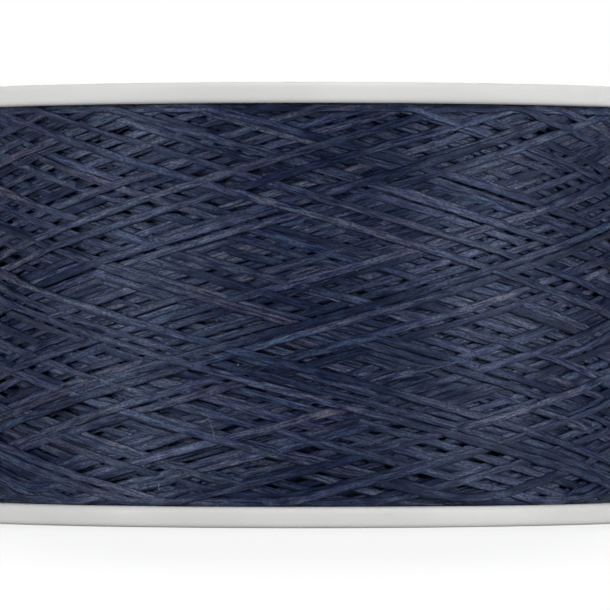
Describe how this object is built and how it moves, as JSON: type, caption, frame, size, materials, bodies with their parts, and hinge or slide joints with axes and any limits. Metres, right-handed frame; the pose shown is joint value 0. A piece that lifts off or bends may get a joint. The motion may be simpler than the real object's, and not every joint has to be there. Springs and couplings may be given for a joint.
{
  "type": "spool of thread",
  "caption": "Flanged spool of cross-wound flat thread: moulded flanges on a board tube, with a through hole for a spool pin.",
  "frame": {"origin": "centre of the face that the spool stands on, on the spool's axis", "axes": "+Z along the spool's axis, from the lower flange to the upper one; the spool is the same all round"},
  "size_m": [0.096, 0.096, 0.052],
  "materials": {
    "flange_plastic": "white moulded polystyrene, satin",
    "liner_paper": "brown kraft paper",
    "tube_board": "grey board, rough",
    "cover_paper": "smooth cream paper",
    "label_paper": "blank matte paper",
    "thread": "matte navy flat thread, low twist"
  },
  "bodies": {
    "root": {"lower_flange": "flange_plastic", "upper_flange": "flange_plastic", "tube_liner": "liner_paper", "tube_board": "tube_board", "tube_cover": "cover_paper", "lower_label": "label_paper", "upper_label": "label_paper", "thread_body": "thread", "thread_turns": "thread"}
  },
  "joints": []
}
